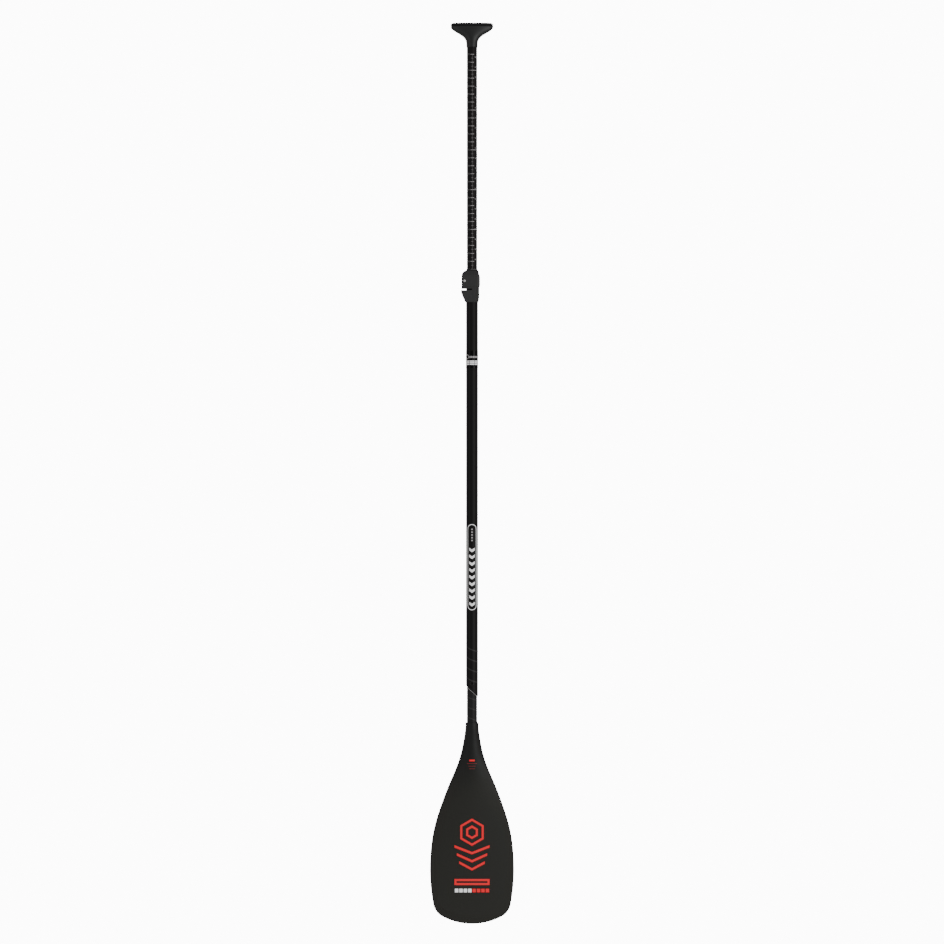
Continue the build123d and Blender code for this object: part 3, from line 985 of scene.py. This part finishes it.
@dataclass
class Shaft:
    """Middle tube with its label, its band and the stripes at its slanted end."""

    finishes: Finishes
    radius: float
    cut_height: float
    lock_height: float
    label_low: float = -0.630
    label_high: float = -0.414
    label_half: float = 12.4 * MM
    label_line: float = 1.6 * MM
    arrow_count: int = 9
    arrow_first: float = 21.0 * MM
    arrow_pitch: float = 17.0 * MM
    arrow_half: float = 7.0 * MM
    arrow_drop: float = 5.0 * MM
    arrow_width: float = 6.5 * MM
    dot_count: int = 5
    dot_first: float = 13.0 * MM
    dot_pitch: float = 7.0 * MM
    dot_radius: float = 2.1 * MM
    bar_tops: tuple[float, ...] = (-3.2 * MM, -7.2 * MM, -11.2 * MM)
    bar_height: float = 2.7 * MM
    bar_reach: float = 19.0 * MM
    bar_cuts: tuple[float, float] = (5.8 * MM, 7.2 * MM)
    ring_radius: float = 6.2 * MM
    ring_line: float = 1.6 * MM
    ring_across: float = -14.5 * MM
    square_count: int = 6
    square_first: float = -6.5 * MM
    square_pitch: float = 4.3 * MM
    square_width: float = 3.1 * MM
    square_low: float = 3.4 * MM
    square_high: float = 8.2 * MM
    stripe_pitch: float = 25.8 * MM
    stripe_count: int = 4
    stripe_steps: int = 24
    stripe_width: float = 2.8 * MM
    stripe_first: float = 40.0 * MM
    stripe_fall: float = 20.5 * MM
    # size of the painted highlight ring round the lock's key hole
    lock_ring_radius: float = 5.0 * MM
    lock_ring_line: float = 0.8 * MM

    def build(self) -> None:
        """Dresses the tube, lays its prints and paints a highlight round the lock's key hole."""
        dress(self.finishes.shaft, "shaft_tube")
        dress(self.finishes.vinyl, "shaft_band")
        self.label()
        self.band_marks()
        self.stripes()
        self.lock_mark()

    def label(self) -> None:
        """Lays the stadium outline and the arrow pattern inside it."""
        place = on_tube(self.radius)
        line = PrintSheet("label_outline", self.finishes.white, Body.SHAFT)
        line.outline(stadium(self.label_half, self.label_low, self.label_high), self.label_line)
        line.lay(place, TUBE_STRIP)
        arrows = PrintSheet("label_arrows", self.finishes.white, Body.SHAFT)
        for number in range(self.arrow_count):
            top = self.label_low + self.arrow_first + number * self.arrow_pitch
            arrows.polygon(chevron(self.arrow_half, top, self.arrow_drop, self.arrow_width))
        arrows.lay(place, TUBE_STRIP)
        dots = PrintSheet("label_dots", self.finishes.silver, Body.SHAFT)
        for number in range(self.dot_count):
            middle = self.label_high - self.dot_first - number * self.dot_pitch
            dots.polygon(regular(12, self.dot_radius, middle))
        dots.lay(place, TUBE_STRIP)

    def band_marks(self) -> None:
        """Lays generic bars, squares and a ring on the glossy band."""
        place = on_tube(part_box("shaft_band")[1][0])
        inner, outer = self.bar_cuts
        bars = PrintSheet("band_bars", self.finishes.white, Body.SHAFT)
        for high in self.bar_tops:
            for left, right in (
                (-self.bar_reach, -outer),
                (-inner, inner),
                (outer, self.bar_reach),
            ):
                bars.bar(left, right, high - self.bar_height, high)
        bars.lay(place, TUBE_STRIP)
        ticks = PrintSheet("band_ticks", self.finishes.silver, Body.SHAFT)
        ring = regular(24, self.ring_radius, self.ring_radius)
        ticks.outline([(x + self.ring_across, z) for x, z in ring], self.ring_line)
        for number in range(self.square_count):
            left = self.square_first + number * self.square_pitch
            ticks.bar(left, left + self.square_width, self.square_low, self.square_high)
        ticks.lay(place, TUBE_STRIP)

    def stripes(self) -> None:
        """Lays the curved stripes, which fall steeply at the left and flatten to the right."""
        art = PrintSheet("shaft_stripes", self.finishes.shadow, Body.SHAFT)
        reach = self.radius * STRIPE_REACH
        shares = [i / self.stripe_steps for i in range(self.stripe_steps + 1)]
        for number in range(self.stripe_count):
            start = self.cut_height + self.stripe_first + number * self.stripe_pitch
            edge = [
                (reach * (2 * t - 1), start - self.stripe_fall * (1 - (1 - t) ** 2))
                for t in shares
            ]
            art.ribbon(edge, self.stripe_width)
        art.lay(on_tube(self.radius), TUBE_STRIP)

    def lock_mark(self) -> None:
        """Paints a grey ring round the lock screw's key hole: a painted highlight standing in for
        light on the hole's rim.
        """
        # painted highlight: a grey ring where light catches the key hole's rim
        ring = PrintSheet("painted_lock_rim_highlight", self.finishes.shadow, Body.SHAFT)
        ring.outline(regular(24, self.lock_ring_radius, self.lock_height), self.lock_ring_line)
        ring.lay(on_tube(self.radius), 1.0 * MM)


@dataclass
class Clamp:
    """Moulded collar with its cam lever and metal parts."""

    finishes: Finishes
    rib_count: int = 5
    rib_pitch: float = 2.6 * MM
    rib_width: float = 1.1 * MM
    rib_height: float = 16.0 * MM
    rib_edge: float = 5.0 * MM
    rib_sink: float = 0.2 * MM
    rib_thick: float = 0.8 * MM
    foot_bead: float = 0.7 * MM

    def build(self) -> None:
        """Dresses the clamp's nodes."""
        dress(self.finishes.clamp, "clamp_collar")
        dress(self.finishes.lever, "cam_lever")
        dress(self.finishes.rubber, "mouth_ring")
        dress(self.finishes.acetal, "saddle_washer")
        dress(self.finishes.steel, "tension_bolt", "cam_pin", "tension_nut")
        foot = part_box("clamp_collar")[0][2]
        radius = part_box("shaft_tube")[1][0]
        resin = self.finishes.resin
        bead("collar_foot_bead", radius, foot, self.foot_bead, resin, Body.SHAFT)
        self.lever_ribs()

    def lever_ribs(self) -> None:
        """Adds the raised ribs that the thumb pulls on, near the lever's tip."""
        low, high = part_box("cam_lever")
        ribs = PrintSheet(
            "lever_ribs",
            self.finishes.lever,
            Body.LEVER,
            thickness=self.rib_thick,
            back=True,
        )
        middle = (low[2] + high[2]) / 2
        rib = stadium(self.rib_width / 2, -self.rib_height / 2, self.rib_height / 2, 4)
        for number in range(self.rib_count):
            across = high[0] - self.rib_edge - number * self.rib_pitch
            ribs.polygon([(across + x, middle + z) for x, z in rib])
        ribs.lay(on_face("cam_lever", -self.rib_sink, back=True), 0.6 * MM)


@dataclass
class BladeSection:
    """Blade, neck and stub, with the emblem and the marks."""

    finishes: Finishes
    stub_radius: float
    neck_top: float
    cut_height: float
    cut_slope: float
    neck_bead: float = 0.8 * MM
    ink_thick: float = 0.1 * MM
    blade_strip: float = 6.0 * MM
    neck_strip: float = 2.0 * MM
    emblem_half: float = 44.0 * MM
    emblem_top: float = 241.0 * MM
    line: float = 5.2 * MM
    hexagon_radii: tuple[float, float] = (34.0 * MM, 17.0 * MM)
    hexagon_fall: float = 32.0 * MM
    chevron_count: int = 3
    chevron_first: float = 64.0 * MM
    chevron_pitch: float = 20.0 * MM
    chevron_step: float = 6.0 * MM
    chevron_drop: float = 17.0 * MM
    chevron_width: float = 6.2 * MM
    plinth_fall: float = 163.0 * MM
    plinth_height: float = 15.0 * MM
    block_count: int = 8
    block_top: float = 413.0 * MM
    block_height: float = 9.0 * MM
    block_gap: float = 1.2 * MM
    neck_mark_top: float = 92.0 * MM
    neck_bar_half: float = 6.8 * MM
    neck_bar_height: float = 4.5 * MM
    neck_line_halves: tuple[float, ...] = (12.5 * MM, 9.0 * MM, 6.8 * MM)
    neck_line_first: float = 10.5 * MM
    neck_line_pitch: float = 6.5 * MM
    neck_line_height: float = 1.3 * MM
    stripe_count: int = 3
    stripe_first: float = 19.6 * MM
    stripe_pitch: float = 25.2 * MM
    stripe_width: float = 3.0 * MM
    stripe_slope: float = 0.34
    joint_line: float = 1.2 * MM
    joint_steps: int = 32

    def build(self) -> None:
        """Dresses the blade section and lays its prints."""
        dress(self.finishes.blade, "blade_front_skin", "blade_back_skin")
        dress(self.finishes.core, "blade_core")
        dress(self.finishes.stub, "stub_tube")
        dress(self.finishes.foam, "stub_plug")
        dress(self.finishes.brass, "lock_insert")
        dress(self.finishes.black_steel, "lock_screw")
        resin = self.finishes.resin
        bead("neck_bead", self.stub_radius, self.neck_top, self.neck_bead, resin, Body.BLADE)
        self.face = on_face("blade_front_skin")
        self.emblem()
        self.block_bar()
        self.neck_marks()
        self.stub_marks()

    def emblem(self) -> None:
        """Lays an abstract emblem: a ringed hexagon above waves of chevrons and a plinth."""
        top = self.neck_top - self.emblem_top
        art = self.blade_print("blade_emblem", self.finishes.red)
        half = self.emblem_half
        for radius in self.hexagon_radii:
            art.outline(regular(6, radius, top - self.hexagon_fall, pi / 2), self.line)
        for number in range(self.chevron_count):
            span = half - number * self.chevron_step
            high = top - self.chevron_first - number * self.chevron_pitch
            art.polygon(chevron(span, high, self.chevron_drop, self.chevron_width))
        low = top - self.plinth_fall
        high = low + self.plinth_height
        art.outline([(-half, low), (half, low), (half, high), (-half, high)], self.line)
        art.lay(self.face, self.blade_strip, both_ways=True)

    def blade_print(self, name: str, ink: bpy.types.Material) -> PrintSheet:
        """Starts a print of the blade's thicker ink."""
        return PrintSheet(name, ink, Body.BLADE, thickness=self.ink_thick)

    def block_bar(self) -> None:
        """Lays a row of blocks under the emblem, half of them white and half red."""
        high = self.neck_top - self.block_top
        low = high - self.block_height
        pitch = 2 * self.emblem_half / self.block_count
        share = self.block_count // 2
        for name, ink, first in (
            ("blocks_white", self.finishes.white, 0),
            ("blocks_red", self.finishes.red, share),
        ):
            art = self.blade_print(name, ink)
            for number in range(first, first + share):
                left = -self.emblem_half + number * pitch
                art.bar(left + self.block_gap, left + pitch - self.block_gap, low, high)
            art.lay(self.face, self.blade_strip, both_ways=True)

    def neck_marks(self) -> None:
        """Lays a small red bar and finer lines on the neck."""
        top = self.neck_top - self.neck_mark_top
        half = self.neck_bar_half
        bar = PrintSheet("neck_bar", self.finishes.red, Body.BLADE)
        bar.bar(-half, half, top - self.neck_bar_height, top)
        bar.lay(self.face, self.neck_strip, both_ways=True)
        lines = PrintSheet("neck_lines", self.finishes.deep_red, Body.BLADE)
        for number, half in enumerate(self.neck_line_halves):
            low = top - self.neck_line_first - number * self.neck_line_pitch
            lines.bar(-half, half, low, low + self.neck_line_height)
        lines.lay(self.face, self.neck_strip, both_ways=True)

    def stub_marks(self) -> None:
        """Lays the stub's stripes and the line where the shaft's slanted end comes."""
        place = on_tube(self.stub_radius)
        art = PrintSheet("stub_stripes", self.finishes.shadow, Body.BLADE)
        reach = self.stub_radius * STRIPE_REACH
        fall = self.stripe_slope * reach
        half = self.stripe_width / 2
        for number in range(self.stripe_count):
            middle = self.cut_height - self.stripe_first - number * self.stripe_pitch
            left, right = middle + fall, middle - fall
            art.polygon(
                [
                    (-reach, left - half),
                    (reach, right - half),
                    (reach, right + half),
                    (-reach, left + half),
                ]
            )
        art.lay(place, TUBE_STRIP)
        edge = PrintSheet("joint_line", self.finishes.silver, Body.BLADE)
        low = self.cut_height - 2 * self.joint_line
        turns = [pi * (2 * i / self.joint_steps - 1) for i in range(self.joint_steps + 1)]
        lean = self.cut_slope * self.stub_radius
        line = [(self.stub_radius * turn, low - lean * sin(turn)) for turn in turns]
        edge.ribbon(line, self.joint_line)
        edge.lay(place, TUBE_STRIP)


@dataclass
class HandleSection:
    """Graduated tube with its T-grip."""

    finishes: Finishes
    radius: float
    lowest_mark: float
    longest_cm: int = 226
    cm_per_mark: int = 2
    mark_pitch: float = 20.0 * MM
    mark_count: int = 28
    mark_line: float = 1.1 * MM
    mark_left: float = -0.3
    mark_rights: tuple[float, float] = (0.8, 0.4)
    small_mark: tuple[float, float] = (-0.15, 0.25)
    small_line: float = 0.8 * MM
    centre_line: tuple[float, float] = (0.035, 0.075)
    cm_figures: tuple[float, float] = (5.2 * MM, -0.68)
    inch_figures: tuple[float, float] = (4.6 * MM, 0.66)
    inch: float = 25.4 * MM
    strip: float = 1.2 * MM
    hatch_count: int = 7
    hatch_first: float = 27.0 * MM
    hatch_pitch: float = 13.0 * MM
    hatch_half: float = 5.0 * MM
    hatch_height: float = 5.0 * MM
    hatch_skew: float = 4.0 * MM
    tick_reach: int = 2
    tick_pitch: float = 3.6 * MM
    tick_shift: float = 1.5 * MM
    tick_half: float = 1.2 * MM
    tick_drops: tuple[float, float] = (7.0 * MM, 5.4 * MM)
    socket_wall: float = 1.4 * MM
    lip: float = 0.8 * MM
    seam: float = 0.5 * MM
    grip_bead: float = 0.6 * MM
    pad_rib_pitch: float = 6.5 * MM
    pad_rib_depth: float = 0.7 * MM
    ink_lift: float = 0.01 * MM
    ink_thick: float = 0.03 * MM

    def build(self) -> None:
        """Dresses the handle section and lays its scale."""
        dress(self.finishes.extension, "extension_tube")
        dress(self.finishes.foam, "extension_plug")
        dress(self.finishes.grip, "grip_stem")
        self.grip()
        self.pad()
        self.scale()
        self.end_zone()

    def grip(self) -> None:
        """Models the T-grip: a round socket that spreads into two rounded arms."""
        low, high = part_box("grip_front_shell")
        base, top, half, thick = low[2], high[2], high[0], -low[1]
        socket = self.radius + self.socket_wall
        rings = [(base, socket - self.lip, socket - self.lip), (base + self.lip, socket, socket)]
        for share, wide, deep in GRIP_RINGS:
            height = base + share * (top - base)
            width, depth = wide * (half - socket), deep * (thick - socket)
            rings.append((height, socket + width, socket + depth))
        rings.append((top, half - self.seam, thick - 2 * self.seam))
        piece = stacked_rings("t_grip_body", rings, 32, 2)
        smooth(piece, self.finishes.grip, Body.HANDLE)
        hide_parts("grip_front_shell", "grip_back_shell")
        resin = self.finishes.resin
        bead("grip_bead", self.radius, base, self.grip_bead, resin, Body.HANDLE)

    def pad(self) -> None:
        """Models the rubber palm pad: a crowned top with shallow ribs across it."""
        low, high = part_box("palm_pad")
        base, top, half, thick = low[2], high[2], high[0], high[1]
        rise = top - base
        rings = [(base + share * rise, half * w, thick * d) for share, w, d in PAD_RINGS]
        piece = stacked_rings("palm_pad_rubber", rings, 48, 3, ridge=True)
        for vertex in piece.data.vertices:
            x, _, z = vertex.co
            inside = min(max((half * 0.86 - abs(x)) / (half * 0.06), 0.0), 1.0)
            above = min(max((z - base - rise * 0.55) / (rise * 0.15), 0.0), 1.0)
            wave = max(cos(2 * pi * x / self.pad_rib_pitch), 0.0)
            vertex.co.z -= self.pad_rib_depth * (1 - wave) * inside * above
        smooth(piece, self.finishes.rubber, Body.HANDLE)
        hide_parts("palm_pad")

    def round_at(self, share: float) -> float:
        """Arc length at which the tube's drawn width has a given share of its radius."""
        return self.radius * asin(share)

    def tube_print(self, name: str, ink: bpy.types.Material) -> PrintSheet:
        """Starts a print thin enough to slide into the shaft's bore."""
        return PrintSheet(name, ink, Body.HANDLE, thickness=self.ink_thick)

    def scale(self) -> None:
        """Lays the long marks, the centre line, the small marks and both sets of numbers."""
        bright = self.tube_print("scale_marks", self.finishes.silver)
        dim = self.tube_print("scale_small_marks", self.finishes.dim)
        numbers = self.tube_print("scale_centimetres", self.finishes.dim)
        size, share = self.cm_figures
        line, fine = self.mark_line / 2, self.small_line / 2
        left, right = (self.round_at(end) for end in self.small_mark)
        for number in range(self.mark_count):
            height = self.lowest_mark + number * self.mark_pitch
            last = self.mark_rights[0 if number % 5 == 0 else 1]
            start, end = self.round_at(self.mark_left), self.round_at(last)
            bright.bar(start, end, height - line, height + line)
            value = self.longest_cm - number * self.cm_per_mark
            numbers.figures(str(value), size, self.round_at(share), height)
            if number < self.mark_count - 1:
                middle = height + self.mark_pitch / 2
                dim.bar(left, right, middle - fine, middle + fine)
        top = self.lowest_mark + (self.mark_count - 1) * self.mark_pitch
        left, right = (self.round_at(end) for end in self.centre_line)
        dim.bar(left, right, self.lowest_mark, top)
        place = on_tube(self.radius, self.ink_lift)
        for print_sheet in (bright, dim, numbers):
            print_sheet.lay(place, self.strip)
        self.inches(top)

    def inches(self, top: float) -> None:
        """Lays the numbers in inches, each at its true place.

        Args:
            top: height of the highest mark.
        """
        art = self.tube_print("scale_inches", self.finishes.silver)
        size, share = self.inch_figures
        longest = self.longest_cm * 10 * MM
        value = int(longest / self.inch)
        while longest - value * self.inch < top - self.lowest_mark:
            height = self.lowest_mark + longest - value * self.inch
            art.figures(str(value), size, self.round_at(share), height)
            value -= 1
        art.lay(on_tube(self.radius, self.ink_lift), self.strip)

    def end_zone(self) -> None:
        """Lays the hatch that marks how far the tube may be drawn out."""
        art = self.tube_print("end_zone_hatch", self.finishes.white)
        half = self.hatch_half
        for number in range(self.hatch_count):
            high = self.lowest_mark - self.hatch_first - number * self.hatch_pitch
            art.bar(-half, half, high - self.hatch_height, high, self.hatch_skew)
        low, high = (self.lowest_mark - drop for drop in self.tick_drops)
        for number in range(-self.tick_reach, self.tick_reach + 1):
            middle = number * self.tick_pitch + self.tick_shift
            art.bar(middle - self.tick_half, middle + self.tick_half, low, high)
        art.lay(on_tube(self.radius, self.ink_lift), self.strip)


# ---------------------------------------------------------------- studio


@dataclass
class Studio:
    """Floor, backdrop, soft lights and the camera."""

    middle: Vector
    height: float
    low: float
    floor_radius: float = 1.05
    floor_thick: float = 0.03
    floor_drop: float = 0.17
    floor_sides: int = 128
    backdrop: float = 12.0
    surround: float = 0.54
    camera_distance: float = 12.0
    camera_margin: float = 1.05
    sensor: float = 36.0

    def build(self) -> None:
        """Builds everything that isn't the paddle."""
        self.floor()
        self.world()
        self.lights()
        self.camera()

    def floor(self) -> None:
        """Adds a round pale floor with a rounded edge, small enough to stay below a level view."""
        deselect()
        top = self.low - self.floor_drop
        bpy.ops.mesh.primitive_cylinder_add(
            vertices=self.floor_sides,
            radius=self.floor_radius,
            depth=self.floor_thick,
            location=(0.0, 0.0, top - self.floor_thick / 2),
        )
        floor = bpy.context.object
        edge = floor.modifiers.new("edge", "BEVEL")
        edge.width = self.floor_thick / 3
        edge.segments = 4
        apply_modifiers(floor)
        floor.name = "studio_floor"
        material, tree, shader = new_material("pale_floor_paint")
        set_shader(tree, shader, {"Base Color": srgb("#f4f4f2"), "Roughness": 0.9})
        floor.data.materials.append(material)

    def world(self) -> None:
        """Sets a white surround that the camera sees, and a softer level for its own light."""
        world = bpy.data.worlds.new("studio_world")
        bpy.context.scene.world = world
        world.use_nodes = True
        tree = world.node_tree
        tree.nodes.clear()
        path = add_node(tree, "ShaderNodeLightPath")
        white = (1.0, 1.0, 1.0, 1.0)
        seen, light = (
            add_node(tree, "ShaderNodeBackground", {"Color": white, "Strength": strength})
            for strength in (self.backdrop, self.surround)
        )
        mix = add_node(
            tree,
            "ShaderNodeMixShader",
            {0: path.outputs["Is Camera Ray"], 1: light.outputs[0], 2: seen.outputs[0]},
        )
        add_node(tree, "ShaderNodeOutputWorld", {"Surface": mix.outputs[0]})

    def area(self, name: str, place: tuple, size: tuple[float, float], power: float) -> None:
        """Adds one soft box that faces the paddle.

        Args:
            name: the light's name.
            place: where it stands.
            size: its width and height.
            power: its power in watts.
        """
        deselect()
        bpy.ops.object.light_add(type="AREA", location=place)
        light = bpy.context.object
        light.name = name
        light.data.shape = "RECTANGLE"
        light.data.size, light.data.size_y = size
        light.data.energy = power
        aim = self.middle - Vector(place)
        light.rotation_euler = aim.to_track_quat("-Z", "Y").to_euler()

    def lights(self) -> None:
        """Adds a broad box in front at the right, a weaker one at the left, and two behind."""
        level = self.middle.z
        self.area("front_right_box", (2.9, -3.4, level), (2.2, 4.0), 148.0)
        self.area("front_left_box", (-3.2, -3.0, level), (1.6, 4.0), 34.0)
        self.area("high_back_box", (-0.6, 3.6, level + 2.9), (2.4, 1.2), 120.0)
        self.area("back_fill_box", (-2.6, 3.2, level), (1.8, 4.0), 70.0)

    def camera(self) -> None:
        """Adds a level camera far in front, with the whole paddle in its frame."""
        deselect()
        distance = self.camera_distance
        bpy.ops.object.camera_add(location=(self.middle.x, -distance, self.middle.z))
        camera = bpy.context.object
        camera.name = "studio_camera"
        camera.rotation_euler = (radians(90), 0.0, 0.0)
        camera.data.sensor_width = self.sensor
        camera.data.lens = self.sensor * distance / (self.height * self.camera_margin)
        bpy.context.scene.camera = camera


# ---------------------------------------------------------------- making


def main() -> None:
    """Builds the paddle's looks and the studio round it."""
    logging.basicConfig(level=logging.INFO, format="%(message)s")
    shaft_low, shaft_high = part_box("shaft_tube")
    radius = shaft_high[0]
    stub_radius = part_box("stub_tube")[1][0]
    neck_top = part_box("blade_front_skin")[1][2]
    cut_slope = tan(radians(CUT_ANGLE))
    cut_height = shaft_low[2] + radius * cut_slope
    lock_low, lock_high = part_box("lock_insert")
    finishes = Finishes(radius, stub_radius, neck_top)
    Shaft(finishes, radius, cut_height, (lock_low[2] + lock_high[2]) / 2).build()
    Clamp(finishes).build()
    BladeSection(finishes, stub_radius, neck_top, cut_height, cut_slope).build()
    HandleSection(finishes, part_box("extension_tube")[1][0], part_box("mouth_ring")[1][2]).build()
    low, high = Vector(cad_box[0]), Vector(cad_box[1])
    middle = (low + high) / 2
    middle.x = 0.0
    Studio(middle, high.z - low.z, low.z).build()


if __name__ == "__main__":
    main()
